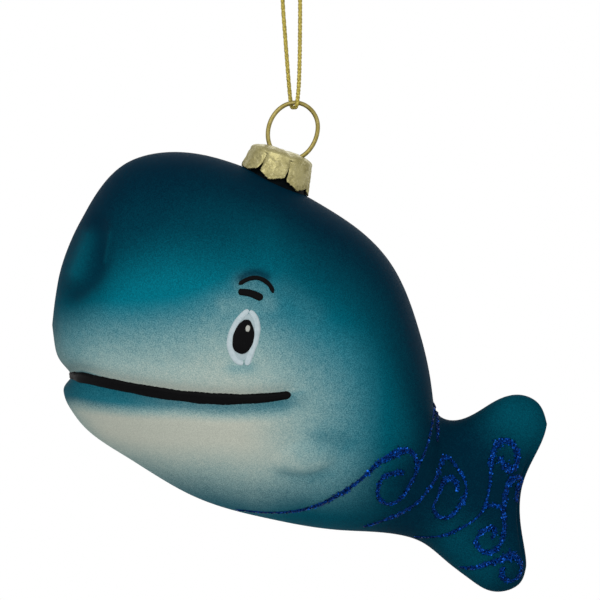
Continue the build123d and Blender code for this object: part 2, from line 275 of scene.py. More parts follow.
class CordSettings(bpy.types.PropertyGroup):
    """Sizes and colours of the cord loop."""

    diameter: FloatProperty(name="Diameter", description="Cord diameter", default=0.00085, unit="LENGTH")
    length: FloatProperty(name="Length", description="Cord from tail to tail",
                          default=0.0799, unit="LENGTH")
    drop: FloatProperty(name="Drop", description="Hook down to the ring's wire",
                        default=0.02563, unit="LENGTH")
    pitch: FloatProperty(name="Braid pitch", description="Length of one turn of a yarn",
                         default=0.0027, unit="LENGTH")
    gold: FloatVectorProperty(name="Yarn", description="Colour of the metallic yarn",
                              subtype="COLOR", size=4,
                              default=(0.52, 0.43, 0.08, 1.0))


class StageSettings(bpy.types.PropertyGroup):
    """Camera, floor and lamps."""

    distance: FloatProperty(name="Camera distance", description="Camera to the whale's middle", default=3.0,
                            unit="LENGTH")
    view: FloatProperty(name="View width", description="Width that the camera takes in", default=0.11372,
                        unit="LENGTH")
    floor: FloatProperty(name="Floor", description="Height of the floor", default=-0.24, unit="LENGTH")
    key: FloatProperty(name="Key lamp", description="Power of the main lamp", default=1.35)
    fill: FloatProperty(name="Fill lamp", description="Power of the side lamp", default=0.6)
    sky: FloatProperty(name="Sky", description="Light from all round", default=0.52)


class Value:
    """A shader socket on which Python arithmetic adds Math nodes."""

    def __init__(self, paint, socket):
        self.paint = paint
        self.socket = socket

    def __add__(self, value):
        return self.paint.math("ADD", self, value)

    __radd__ = __add__

    def __sub__(self, value):
        return self.paint.math("SUBTRACT", self, value)

    def __rsub__(self, value):
        return self.paint.math("SUBTRACT", value, self)

    def __mul__(self, value):
        return self.paint.math("MULTIPLY", self, value)

    __rmul__ = __mul__


class Paint:
    """One material or world, with the nodes that feed its shader."""

    def __init__(self, name, constants, store="materials", shader="Principled BSDF"):
        self.owner = getattr(bpy.data, store).new(name)
        self.owner.use_nodes = True
        self.tree = self.owner.node_tree
        self.shader = self.tree.nodes[shader]
        for socket, value in constants.items():
            self.shader.inputs[socket].default_value = value

    def node(self, kind, settings=None, sockets=None, output=0):
        """Adds a node: its settings first, then the values or links of its sockets."""
        made = self.tree.nodes.new(kind)
        for name, value in (settings or {}).items():
            setattr(made, name, value)
        for name, value in (sockets or {}).items():
            if isinstance(value, Value):
                self.tree.links.new(value.socket, made.inputs[name])
            else:
                made.inputs[name].default_value = value
        return Value(self, made.outputs[output])

    def math(self, operation, *values):
        return self.node("ShaderNodeMath", {"operation": operation}, dict(enumerate(values)))

    def place(self):
        """The point on the piece, in metres."""
        return self.node("ShaderNodeTexCoord", output="Object")

    def step(self, value, low, high):
        """Rises smoothly from 0 at low to 1 at high."""
        return self.node("ShaderNodeMapRange", {"interpolation_type": "SMOOTHSTEP"},
                         {"Value": value, "From Min": low, "From Max": high})

    def mix(self, share, one, two):
        """A colour between two."""
        return self.node("ShaderNodeMix", {"data_type": "RGBA"}, {0: share, 6: one, 7: two}, 2)

    def grain(self, scale, detail=2.0, rough=0.5):
        """Noise from 0 to 1."""
        return self.node("ShaderNodeTexNoise", None,
                         {"Vector": self.place(), "Scale": scale, "Detail": detail, "Roughness": rough})

    def carried(self, name):
        """A number kept on the mesh's points."""
        return self.node("ShaderNodeAttribute", {"attribute_name": name}, output="Fac")

    def bump(self, height, strength, distance):
        return self.node("ShaderNodeBump", None, {"Height": height, "Strength": strength, "Distance": distance})

    def feed(self, **links):
        """Links values to the shader's sockets and gives the material or world."""
        names = {"color": "Base Color", "roughness": "Roughness", "metallic": "Metallic", "normal": "Normal",
                 "strength": "Strength"}
        for name, value in links.items():
            self.tree.links.new(value.socket, self.shader.inputs[names[name]])
        return self.owner


def smooth_line(points, count):
    """Points evenly spaced along a smooth line through the given ones."""
    points = np.array(points, float)
    runs = np.linalg.norm(np.diff(points, axis=0), axis=1)
    knots = np.concatenate(([0.0], np.cumsum(runs)))
    size = len(points)
    system = np.eye(size)
    right = np.zeros_like(points)
    for k in range(1, size - 1):
        system[k, k - 1:k + 2] = runs[k - 1], 2 * (runs[k - 1] + runs[k]), runs[k]
        right[k] = 6 * ((points[k + 1] - points[k]) / runs[k] - (points[k] - points[k - 1]) / runs[k - 1])
    bend = np.linalg.solve(system, right)
    fine = np.linspace(0, knots[-1], FINE_STEPS)
    at = np.clip(np.searchsorted(knots, fine, side="right") - 1, 0, size - 2)
    run = runs[at][:, None]
    past = fine[:, None] - knots[at][:, None]
    left = run - past
    line = (bend[at] * left ** 3 + bend[at + 1] * past ** 3) / (6 * run)
    line += ((points[at] / run - bend[at] * run / 6) * left
             + (points[at + 1] / run - bend[at + 1] * run / 6) * past)
    return along(line, np.linspace(0, 1, count))


def along(line, shares):
    """Points at shares of a line's length."""
    line = np.asarray(line, float)
    lengths = np.concatenate(([0.0], np.cumsum(np.linalg.norm(np.diff(line, axis=0), axis=1))))
    return np.stack([np.interp(np.asarray(shares) * lengths[-1], lengths, axis) for axis in line.T], axis=1)


def soft_step(value, low, high):
    """Rises smoothly from 0 at low to 1 at high."""
    share = np.clip((value - low) / (high - low), 0, 1)
    return share * share * (3 - 2 * share)


def hump(value, width):
    """A bell of height 1 at zero."""
    return np.exp(-(value / width) ** 2)


def mouth_level(share):
    """Height of the mouth line as a share, level round the front of the head."""
    return np.polyval(MOUTH_CURVE, share) - 0.016 * hump(share - 0.008, 0.026)


def spot(share_x, share_z):
    """Where shares of length and height lie in the side view, in metres."""
    whale = bpy.context.scene.whale
    return SHELL_LOW.x + share_x * whale.length, SHELL_LOW.z + share_z * whale.height


def side_line(shares, count):
    """Points evenly spaced along a smooth line of the side view, in metres."""
    return smooth_line([spot(*share) for share in shares], count)


def piece(name, points, faces, material, body, smooth=True):
    """A mesh object that rides on a body."""
    mesh = bpy.data.meshes.new(name)
    mesh.from_pydata([tuple(point) for point in points], [], [tuple(int(k) for k in face) for face in faces])
    mesh.validate()
    mesh.polygons.foreach_set("use_smooth", [smooth] * len(mesh.polygons))
    mesh.materials.append(material)
    made = bpy.data.objects.new(name, mesh)
    bpy.context.scene.collection.objects.link(made)
    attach(made, body)
    return made


def carry(made, name, values):
    """Keeps a number on each point of a mesh."""
    layer = made.data.attributes.new(name, "FLOAT", "POINT")
    layer.data.foreach_set("value", np.asarray(values, np.float32))


def weld(made, distance, cut=None):
    """Joins a mesh's doubled points, cuts it where asked and turns its faces one way."""
    mesh = bmesh.new()
    mesh.from_mesh(made.data)
    bmesh.ops.remove_doubles(mesh, verts=mesh.verts, dist=distance)
    if cut:
        cut(mesh)
    bmesh.ops.recalc_face_normals(mesh, faces=mesh.faces)
    mesh.to_mesh(made.data)
    mesh.free()


def grid_faces(rows, columns, closed=False):
    """Faces of a grid whose points run row by row; closed joins the last column to the first."""
    faces = []
    for row in range(rows - 1):
        for column in range(columns if closed else columns - 1):
            beside = (column + 1) % columns
            faces.append((row * columns + column, row * columns + beside,
                          (row + 1) * columns + beside, (row + 1) * columns + column))
    return faces


def frames(line):
    """Tangent and two cross directions along a line, turned as little as possible."""
    line = np.asarray(line, float)
    tangents = np.gradient(line, axis=0)
    tangents /= np.linalg.norm(tangents, axis=1)[:, None]
    cross = np.cross(tangents[0], (0.3, 1.0, 0.2))
    sides = []
    for tangent in tangents:
        cross = cross - tangent * np.dot(cross, tangent)
        cross = cross / np.linalg.norm(cross)
        sides.append(cross)
    sides = np.array(sides)
    return tangents, sides, np.cross(tangents, sides)


def tube(line, radius, sides):
    """Points and faces of a round tube with closed ends."""
    line = np.asarray(line, float)
    radius = np.broadcast_to(np.asarray(radius, float), (len(line),))
    _, one, two = frames(line)
    turns = np.linspace(0, 2 * math.pi, sides, endpoint=False)
    rings = line[:, None] + radius[:, None, None] * (
        one[:, None] * np.cos(turns)[None, :, None] + two[:, None] * np.sin(turns)[None, :, None])
    points = np.concatenate((rings.reshape(-1, 3), line[:1], line[-1:]))
    faces = grid_faces(len(line), sides, closed=True)
    first, last = len(points) - 2, len(points) - 1
    base = (len(line) - 1) * sides
    for k in range(sides):
        faces.append((first, (k + 1) % sides, k))
        faces.append((last, base + k, base + (k + 1) % sides))
    return points, faces


def joined(parts):
    """Several point and face lists as one."""
    points, faces = [], []
    for more_points, more_faces in parts:
        start = len(points)
        points.extend(more_points)
        faces.extend(tuple(k + start for k in face) for face in more_faces)
    return points, faces


def wire_places():
    """How far across and below the ring's centre its arc ends, its bend below and its holes' place across."""
    fitting = bpy.context.scene.fitting
    half = fitting.opening / 2
    across, drop = fitting.ring * math.cos(half), fitting.ring * math.sin(half)
    bend = drop + (across - fitting.legs / 2) / math.tan(half)
    hole = across - (fitting.rise - drop) * math.tan(half)
    return across, drop, bend, hole


def fitting_axes():
    """Cap axis, direction across the cap, ring centre and the cap's shoulder centre, in metres."""
    fitting = bpy.context.scene.fitting
    axis = np.array((math.sin(fitting.tilt), 0, math.cos(fitting.tilt)))
    across = np.array((math.cos(fitting.tilt), 0, -math.sin(fitting.tilt)))
    ring = np.array((0, 0, -bpy.context.scene.cord.drop - fitting.ring))
    hole_rise = fitting.dome * (1 - (wire_places()[3] / fitting.shoulder) ** 2)
    shoulder = ring - across * fitting.offset - axis * (fitting.rise + hole_rise)
    return axis, across, ring, shoulder


def whale_grid(rows, columns):
    """The whale's smooth form with a rounded edge, each row's share of the way, and the two outlines."""
    whale = bpy.context.scene.whale
    shares = (1 - np.cos(math.pi * (np.arange(rows) + 0.35) / (rows - 0.65))) / 2
    shares[-1] = 1.0
    top = along(side_line(TOP_SHARES, OUTLINE_STEPS), shares)
    low = along(side_line(LOW_SHARES, OUTLINE_STEPS), shares)
    side_points = [(x * whale.length, y * whale.width / 2) for x, y in SIDE_SHARES]
    half_width = along(smooth_line(side_points, OUTLINE_STEPS), shares)[:, 1]
    base = np.linspace(0, 2 * math.pi, columns, endpoint=False)
    turns = base + CROWDING * np.sin(2 * base)
    ramp = np.clip((shares - PINCH_START) / (1 - PINCH_START), 0, 1)
    centre = (top + low) / 2
    reach = (top - low) / 2
    cosine = np.cos(turns)[None, :]
    sine = np.sin(turns)[None, :]
    forward = np.stack((reach[:, 1], -reach[:, 0]), axis=1)
    forward /= np.linalg.norm(forward, axis=1)[:, None]
    curl = np.where(cosine > 0, *FLUKE_CURLS)
    bay = (ramp ** 3)[:, None] * (EDGE_ROUND * abs(sine) + FLUKE_BAY * abs(sine) ** curl)
    x = centre[:, :1] + reach[:, :1] * cosine - forward[:, :1] * bay
    z = centre[:, 1:] + reach[:, 1:] * cosine - forward[:, 1:] * bay
    y = half_width[:, None] * sine * (1 - PINCH * ramp[:, None] * sine ** 2)
    back = np.array((forward[-1, 0], 0.0, forward[-1, 1]))
    lips = [np.stack((x, y, z), axis=2)]
    for step in range(1, EDGE_STEPS + 1):
        turn = step / EDGE_STEPS * math.pi / 2
        edge = lips[0][-1] * np.array((1, math.cos(turn), 1))
        edge = edge + np.outer(abs(sine[0]), back) * EDGE_ROUND * math.sin(turn)
        lips.append(edge[None])
    return np.concatenate(lips), np.concatenate((shares, np.ones(EDGE_STEPS))), top, low


def grid_normals(grid):
    """Outward directions on a grid that is closed across its columns."""
    down = np.gradient(grid, axis=0)
    round_ = np.roll(grid, -1, axis=1) - np.roll(grid, 1, axis=1)
    normal = np.cross(down, round_)
    normal /= np.linalg.norm(normal, axis=2)[:, :, None] + 1e-12
    return normal


def moulded(grid):
    """How far the mould pushes each point out: lips, mouth crease, face groove, side fins and small dents."""
    whale = bpy.context.scene.whale
    x, z = grid[:, :, 0], grid[:, :, 2]
    share = (x - SHELL_LOW.x) / whale.length
    mouth = SHELL_LOW.z + whale.height * mouth_level(share)
    above = z - mouth
    front = 1 - soft_step(share, 0.02, 0.13)
    ends = 1 - soft_step(share, MOUTH_END - 0.012, MOUTH_END + 0.02)
    depth = whale.mouth_depth * (0.34 + 0.66 * front) * ends
    crease = np.where(above > 0, hump(above, (1.9 + 1.0 * front) * MM), hump(above, 1.3 * MM))
    push = -depth * crease
    push += 0.25 * MM * ends * hump(above + 4.4 * MM, 2.3 * MM)
    push += 0.25 * MM * ends * (1 - front) * hump(above - 3.6 * MM, 1.6 * MM)
    push -= 0.7 * MM * near(grid, FACE_GROOVE, 1.9)
    push += 0.4 * MM * near(grid, FACE_BULGE, 1.7)
    push += 0.15 * MM * near(grid, FACE_STREAK, 0.6)
    # The side fin: an oval swelling that leans, narrower below its middle, with a dimple and a crease.
    fin_x, fin_z = spot(*FIN)
    lean = math.radians(12)
    run = (x - fin_x) * math.cos(lean) + (z - fin_z) * math.sin(lean)
    rise = (z - fin_z) * math.cos(lean) - (x - fin_x) * math.sin(lean)
    inside = 1 - (run / (6.2 * MM)) ** 2 - (rise / np.where(rise < 0, 2.7 * MM, 3.6 * MM)) ** 2
    push += whale.fin_relief * np.clip(inside, 0, 1) ** 0.8
    dent_x, dent_z = spot(*DIMPLE)
    push -= 0.45 * MM * hump(np.hypot(x - dent_x, z - dent_z), 2.2 * MM)
    push -= 0.28 * MM * near(grid, FIN_CREASE, 1.3)
    return push


def near(grid, shares, width):
    """A soft band along a line of the side view, with its width in millimetres."""
    away = np.full(grid.shape[:2], 1.0)
    for x, z in side_line(shares, 40):
        away = np.minimum(away, np.hypot(grid[:, :, 0] - x, grid[:, :, 2] - z))
    return hump(away, width * MM)


def spray_and_painted_light(grid, top, low):
    """How much of each spray coat lies at each point: teal over navy, cream over both, with painted highlights
    and painted shade worked in, then navy painted shade.
    """
    whale = bpy.context.scene.whale
    x, z = grid[:, :, 0], grid[:, :, 2]
    across = (x - SHELL_LOW.x) / whale.length
    up = (z - SHELL_LOW.z) / whale.height
    crown_x, crown_z = spot(*CROWN)
    back = np.interp(x, top[:, 0], top[:, 1])
    back = np.where(x < crown_x, np.maximum(back, crown_z - 0.63 * (crown_x - x)), back)
    under_back = (back - z) / MM
    over_keel = (z - np.interp(x, low[:, 0], low[:, 1])) / MM

    # Teal: below the dark back, fading on the tail and towards the keel, with painted highlights lifting it on
    # the flukes' lobes and the face's bulge, and lifting again along the face's streak and on the shoulder.
    # Painted highlights on the two puffy fluke lobes.
    upper_lobe_highlight = near(grid, UPPER_LOBE, 6)
    lower_lobe_highlight = near(grid, LOWER_LOBE, 6)
    # Painted highlight on the face's moulded bulge, and lighter along the raised streak beside it.
    bulge = 0.3 * near(grid, FACE_BULGE, 1.6) + 0.1 * near(grid, FACE_STREAK, 0.5)
    power = np.interp(across, (0.2, 0.34, 0.44, 0.54), (2.4, 1.9, 1.0, 1.4))
    low_tail = 1 - soft_step(up, 0.24, 0.38)
    teal = soft_step(under_back, 2, 29) ** power
    teal = teal * (1 - soft_step(across, 0.55 - 0.02 * low_tail, 0.812 - 0.082 * low_tail))
    # Painted shade in part: teal thins towards the keel, partly as navy underside paint and partly as shade
    # where the belly turns down from the light.
    teal = teal * (1 - (0.55 + 0.14 * soft_step(across, 0.44, 0.52)) * soft_step(-over_keel, -14, 0))
    shoulder = (0.07 + 0.06 * hump(across - 0.34, 0.08)) * hump(under_back - 10, 5)
    shoulder = shoulder * (1 - soft_step(across, 0.68, 0.8))
    teal = teal + 0.36 * upper_lobe_highlight + 0.23 * lower_lobe_highlight + bulge + shoulder

    # Cream: the belly and lips up to a slanting edge, without the band under the mouth.
    slant = up + 0.18 * np.clip(across - 0.35, 0, 1) + 0.012 * (1 - soft_step(across, 0.02, 0.1))
    near_eye = hump(across - 0.38, 0.1)
    above = (up - mouth_level(across)) * whale.height / MM
    chin = 1 - soft_step(across, 0.06, 0.3)
    band = soft_step(above, -4.7 - 2.3 * chin, -1.5 - 1.9 * chin) * (1 - soft_step(above, 0, 0.8))
    band = band * (1 - soft_step(across, 0.46, 0.54))
    band = band * (1 - 0.18 * soft_step(across, 0.12, 0.34))
    after = soft_step(across, 0.08, 0.38)
    # Cream fades towards the keel, partly as teal underside paint and partly as painted shade where the belly
    # turns down from the light.
    keel = soft_step(over_keel, -6 + 5 * after + 3 * soft_step(across, 0.4, 0.52), 3 + 11 * after)
    upper = np.maximum(soft_step(above, 0, 3), soft_step(across, 0.4, 0.54))
    cream = (1 - soft_step(across, 0.36, 0.68)) * keel * (1 - 0.18 * upper)
    cream = cream * (1 - soft_step(slant, 0.43 + 0.02 * near_eye, 0.67 + 0.055 * near_eye))
    # Painted shade: the cream is darker at the nose, where the head turns away from the light.
    cream = cream * (1 - 0.97 * band) * (0.74 + 0.26 * soft_step(across, 0, 0.12))
    # Painted highlights under the brow, over the eye and on the fin's ridge, the last partly a paler spray
    # patch; painted shade taken out of the cream in the fin's crease and round its dimple; less cream just
    # under the eye; a faint lighter haze beside the eye.
    brow_light = near(grid, BROW_LIGHT, 1.8)
    fin_light = near(grid, FIN_LIGHT, 1.5)
    under_eye = near(grid, UNDER_EYE, 1.3)
    fin_shade = 0.38 * near(grid, FIN_CREASE, 1.6) + 0.4 * near(grid, FIN_SHADE, 1.9)
    cream = cream * (1 - 0.45 * under_eye) * (1 - fin_shade)
    haze = near(grid, EYE_HAZE, 2.4)
    lid_light = near(grid, LID_LIGHT, 1.6)
    cream = cream + 0.11 * brow_light + 0.09 * lid_light + 0.03 * haze + 0.12 * fin_light
    cream = np.clip(cream, 0, 1)

    # Painted shade in navy: in the face's groove, partly a dark sprayed haze and partly shade of the recess;
    # over the brow, partly dark airbrush and partly a painted shadow; beside the fin's crease and dimple; just
    # above the mouth line where the upper lip rolls into the crease, and darker just under it within the band.
    # The raised streak is kept lighter.
    shade = 0.62 * near(grid, FACE_GROOVE, 1.9)
    shade = shade * (1 - 0.7 * near(grid, FACE_STREAK, 0.5))
    shade = shade + 0.78 * near(grid, BROW_SHADE, 0.9)
    shade = shade + 0.08 * near(grid, FIN_CREASE, 1.2) + 0.1 * near(grid, FIN_SHADE, 1.6)
    shade = shade + 0.36 * band * hump(above + 1.4, 1.4)
    shade = shade + 0.13 * hump(above - 1.5, 0.9) * (1 - soft_step(across, 0.46, 0.5))
    return {"teal": np.clip(teal, 0, 1), "cream": cream, "shade": np.clip(shade, 0, 0.9)}


def wavy(points, scale, height, seed):
    """A small random swelling at each point."""
    shift = Vector((seed * 3.1, seed * 1.7, seed * 0.9))
    return np.array([height * noise.noise(Vector(point) * scale + shift) for point in points])


class ORNAMENT_OT_glass_whale(bpy.types.Operator):
    """Blow the lacquered glass whale with its mouth crease, fins, flukes and neck"""

    bl_idname = "ornament.glass_whale"
    bl_label = "Glass Whale"

    def execute(self, context):
        grid, shares, top, low = whale_grid(ROWS, COLUMNS)
        coats_and_painted_light = spray_and_painted_light(grid, top, low)
        fading = 1 - soft_step(shares, 0.93, 0.99)[:, None, None]
        grid = grid + grid_normals(grid) * moulded(grid)[:, :, None] * fading
        total = grid.shape[0]
        swell = wavy(grid.reshape(-1, 3), 70.0, 0.12 * MM, 1).reshape(total, COLUMNS, 1)
        grid = grid + grid_normals(grid) * swell * fading
        nose = grid[0].mean(axis=0) - np.array((0.02 * MM, 0, 0))
        points = np.concatenate((grid.reshape(-1, 3), nose[None]))
        faces = grid_faces(total, COLUMNS, closed=True)
        faces += [(total * COLUMNS, k, (k + 1) % COLUMNS) for k in range(COLUMNS)]
        points[:, 0] = np.clip(points[:, 0], SHELL_LOW.x, SHELL_HIGH.x)
        axis, _, _, shoulder = fitting_axes()
        from_axis = points - shoulder
        off = np.linalg.norm(from_axis - np.outer(from_axis @ axis, axis), axis=1)
        mouth_of_neck = (off < NECK_BORE) & (points[:, 2] > shoulder[2] - NECK_REACH)
        faces = [face for face in faces if not all(mouth_of_neck[k] for k in face)]
        shell = piece("glass_shell", points, faces, lacquer(), "glass")
        for name, values in coats_and_painted_light.items():
            carry(shell, name, np.append(values.reshape(-1), values[0].mean()))
        weld(shell, 0.004 * MM)
        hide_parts("glass_body")
        self.neck()
        return {"FINISHED"}

    def neck(self):
        """The short tube of bare glass under the cap."""
        axis, across, _, shoulder = fitting_axes()
        columns = 72
        points = []
        for radius, level in NECK:
            for k in range(columns):
                turn = 2 * math.pi * k / columns
                out = across * math.cos(turn) + np.array((0, math.sin(turn), 0))
                points.append(shoulder + out * radius * MM + axis * level * MM)
        faces = grid_faces(len(NECK), columns, closed=True)
        # The neck's glass is painted near-black as painted shade under the cap.
        piece("glass_neck", points, faces, shaded_bare_glass(), "glass")


def lacquer():
    """Matte sprayed lacquer: navy back, teal sides, cream belly, with the spray's fine grain, and the painted
    highlights and painted shade that the mesh carries.
    """
    whale = bpy.context.scene.whale
    paint = Paint("matte_lacquer", {"Specular IOR Level": 0.004})
    drift = paint.grain(60.0, 3.0) - 0.5
    fine = paint.step(paint.grain(5600.0, 1.0, 0.6), 0.34, 0.66)
    mist = paint.grain(700.0, 4.0, 0.7) - 0.5
    teal = paint.carried("teal")
    teal = teal + drift * 0.10 + mist * 0.12 + (fine - 0.5) * (0.08 + teal * 0.28)
    cream = paint.carried("cream")
    cream = cream + cream * (1 - cream) * (drift * 0.8 + mist * 1.3 + (fine - 0.5) * 0.8)
    color = paint.mix(teal, tuple(whale.navy), tuple(whale.teal))
    color = paint.mix(cream, color, tuple(whale.cream))
    color = paint.mix(cream * (1 - cream) * 0.43, color, (0.18, 0.70, 0.74, 1.0))
    # Painted shade: navy mixed in where the mesh carries it, in the groove, over the brow, by the fin and along
    # the mouth.
    color = paint.mix(paint.carried("shade"), color, tuple(whale.navy))
    color = paint.mix((1 - fine) * 0.2, color, (0.0, 0.009, 0.016, 1.0))
    rough = 0.52 + fine * 0.14 + drift * 0.10
    return paint.feed(color=color, roughness=rough, normal=paint.bump(fine, 0.12, 0.05 * MM))


def shaded_bare_glass():
    """Glass left unpainted under the cap, painted near-black: painted shade for the shadow under the cap's
    skirt and the dark hollow seen through it.
    """
    paint = Paint("neck_painted_shade", {"Specular IOR Level": 0.012})
    fine = paint.grain(900.0, 3.0)
    color = paint.mix(fine, (0.001, 0.002, 0.003, 1.0), (0.004, 0.006, 0.007, 1.0))
    return paint.feed(color=color, roughness=0.25 + fine * 0.2)


def surface():
    """The whale's skin, for laying paint on it."""
    mesh = bpy.data.objects["glass_shell"].data
    return BVHTree.FromPolygons([vertex.co for vertex in mesh.vertices],
                                [list(polygon.vertices) for polygon in mesh.polygons])


def beside_point(skin, x, z, side):
    """Where a point of the side view meets the skin, and the skin's direction there."""
    hit, normal, _, _ = skin.ray_cast(Vector((x, side * BESIDE, z)), Vector((0, -side, 0)))
    if hit is None:
        hit, normal, _, _ = skin.find_nearest(Vector((x, side * 4 * MM, z)))
    if normal.y * side < 0:
        normal = -normal
    return hit, normal


def laid(skin, line, side):
    """The points of the skin beside a line of the side view, with the skin's directions there."""
    return [beside_point(skin, x, z, side) for x, z in line]


def unsteady(centres, scale, height, seed):
    """A small random swelling at each point of a line on the skin."""
    return wavy([tuple(centre) for centre, _ in centres], scale, height, seed)


def settled(skin, point, normal, height):
    """The skin's nearest point, raised by height."""
    near, facing, _, _ = skin.find_nearest(point)
    if facing.dot(normal) < 0:
        facing = -facing
    return near + facing * height, facing


def brush_ribbon(skin, centres, widths, height, columns=9):
    """Points and faces of a raised stroke along points on the skin."""
    points = []
    count = len(centres)
    for k, (centre, normal) in enumerate(centres):
        ahead = centres[min(k + 1, count - 1)][0] - centres[max(k - 1, 0)][0]
        aside = normal.cross(ahead).normalized()
        for column in range(columns):
            across = 2 * column / (columns - 1) - 1
            rise = height[k] * max(0.0, 1 - across ** 4) - 0.03 * MM * (across ** 4)
            where, _ = settled(skin, centre + aside * (across * widths[k] / 2), normal, rise)
            points.append(where)
    return points, grid_faces(count, columns)


class ORNAMENT_OT_mouth(bpy.types.Operator):
    """Lay the black relief enamel along the mouth crease, round the front of the head"""

    bl_idname = "ornament.mouth"
    bl_label = "Mouth Line"

    def execute(self, context):
        skin = surface()
        left = []
        for share in np.linspace(MOUTH_END, 0.0, 260):
            x, z = spot(share, mouth_level(share) + 0.0012)
            hit = skin.ray_cast(Vector((x, -BESIDE, z)), Vector((0, 1, 0)))[0]
            if hit is None:
                break
            left.append(hit)
        if len(left) < 40:
            raise RuntimeError("the mouth line doesn't meet the head")
        line = [tuple(point) for point in left] + [(point.x, -point.y, point.z) for point in reversed(left)]
        line = along(line, np.linspace(0, 1, 460))
        for _ in range(6):
            line[1:-1] = (line[:-2] + 2 * line[1:-1] + line[2:]) / 4
        centres = []
        for point in line:
            near, normal, _, _ = skin.find_nearest(Vector(point))
            if normal.dot(near - HEAD_MIDDLE) < 0:
                normal = -normal
            centres.append((near, normal))
        count = len(centres)
        ends = np.minimum(np.arange(count), np.arange(count)[::-1]) / count
        swell = wavy(line, 260.0, 0.16, 4)
        blunt = np.minimum(1, (ends / 0.007 + 0.03) ** 0.5)
        widths = 2.42 * MM * blunt * (1 + swell) * (1 - 0.36 * soft_step(ends, 0.37, 0.47))
        widths *= 0.76 + 0.24 * soft_step(ends, 0.02, 0.16)
        heights = 0.62 * MM * blunt * (1 + 0.6 * swell) * (1 - 0.45 * soft_step(ends, 0.38, 0.47))
        points, faces = brush_ribbon(skin, centres, widths, heights, 13)
        line_piece = piece("mouth_enamel", points, faces, line_enamel(), "glass")
        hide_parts("mouth_line")
        return {"FINISHED"}


def line_enamel():
    """Thick black enamel with brush drag."""
    whale = bpy.context.scene.whale
    paint = Paint("line_enamel", {"Specular IOR Level": 0.03})
    drag = paint.grain(1400.0, 3.0)
    color = paint.mix(drag * 0.6, tuple(whale.black), (0.006, 0.006, 0.0065, 1.0))
    return paint.feed(color=color, roughness=0.42 + drag * 0.25, normal=paint.bump(drag, 0.25, 0.08 * MM))


def dab(skin, share, half_width, half_height, lean, side, lift, height, seed, ragged, egg=0.0):
    """An oval dab of enamel with a brushed edge, narrower at the top by the share egg."""
    rings, columns = 16, 96
    x, z = spot(*share)
    points = []
    for ring in range(rings + 1):
        reach = ring / rings
        for column in range(columns):
            turn = 2 * math.pi * column / columns
            edge = 1 + ragged * noise.noise(Vector((math.cos(turn) * 2.2, math.sin(turn) * 2.2, seed)))
            a = half_width * edge * reach * math.cos(turn) * (1 - egg * math.sin(turn))
            b = half_height * edge * reach * math.sin(turn)
            shift_x = a * math.cos(lean) + b * math.sin(lean)
            shift_z = b * math.cos(lean) - a * math.sin(lean)
            hit, normal = beside_point(skin, x + shift_x, z + shift_z, side)
            rise = lift + height * (1 - reach ** 5) if ring < rings else lift - 0.06 * MM
            points.append(hit + normal * rise)
    return points, grid_faces(rings + 1, columns, closed=True)


class ORNAMENT_OT_eyes(bpy.types.Operator):
    """Brush the white, the pupil and the glint of both eyes"""

    bl_idname = "ornament.eyes"
    bl_label = "Eyes"

    def execute(self, context):
        coat = context.scene.whale.enamel
        skin = surface()
        white, black, glint = eye_enamel(), line_enamel(), glint_enamel()
        for name, side in SIDES:
            strokes = [dab(skin, EYE, 2.5 * MM, 4.7 * MM, math.radians(8), side, 0.0, coat * 0.8, 1.3, 0.03)]
            for shares, seed in zip(EYE_STROKES, (1, 6)):
                strokes.append(self.stroke(skin, shares, side, coat, seed))
            points, faces = joined(strokes)
            made = piece(f"eye_{name}", points, faces, white, "glass")
            brushed = len(strokes[0][0])
            carry(made, "stroke", [0.0] * brushed + [1.0] * (len(points) - brushed))
            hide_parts(f"eye_white_{name}")
            points, faces = dab(skin, PUPIL, 1.92 * MM, 3.25 * MM, math.radians(12), side,
                                coat + 0.14 * MM, coat, 2.6, 0.05, 0.16)
            made = piece(f"pupil_{name}", points, faces, black, "glass")
            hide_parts(f"eye_pupil_{name}")
            points, faces = dab(skin, GLINT, 0.44 * MM, 0.63 * MM, math.radians(8), side,
                                2 * coat + 0.16 * MM, 0.8 * coat, 3.9, 0.12)
            made = piece(f"glint_{name}", points, faces, glint, "glass")
            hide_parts(f"eye_glint_{name}")
        return {"FINISHED"}

    def stroke(self, skin, shares, side, coat, seed):
        """One side of the eye's white ring, drawn from the top down."""
        k = np.linspace(0, 1, 70)
        centres = laid(skin, side_line(shares, len(k)), side)
        taper = np.minimum(1, np.minimum(k, 1 - k) / 0.07 + 0.3) ** 0.5
        swell = 1 + unsteady(centres, 600.0, 0.12, seed)
        widths = MM * (1.12 + 0.3 * np.sin(math.pi * k ** 1.3)) * taper * swell
        return brush_ribbon(skin, centres, widths, coat * 1.25 * taper, 11)


def eye_enamel():
    """White enamel, thin at the brush's edge."""
    whale = bpy.context.scene.whale
    paint = Paint("eye_enamel", {"Specular IOR Level": 0.12})
    drag = paint.grain(1100.0, 3.0)
    color = paint.mix(paint.carried("stroke"), (0.37, 0.46, 0.485, 1.0), tuple(whale.white))
    color = paint.mix(paint.step(drag, 0.42, 0.72) * 0.45, color, (0.32, 0.42, 0.45, 1.0))
    return paint.feed(color=color, roughness=0.38 + drag * 0.2, normal=paint.bump(drag, 0.3, 0.08 * MM))


def glint_enamel():
    """A dot of cream enamel."""
    whale = bpy.context.scene.whale
    paint = Paint("glint_enamel", {"Specular IOR Level": 0.4})
    drag = paint.grain(1800.0, 2.0)
    color = paint.mix(drag, tuple(whale.glint), (0.34, 0.36, 0.34, 1.0))
    return paint.feed(color=color, roughness=0.35 + drag * 0.2)


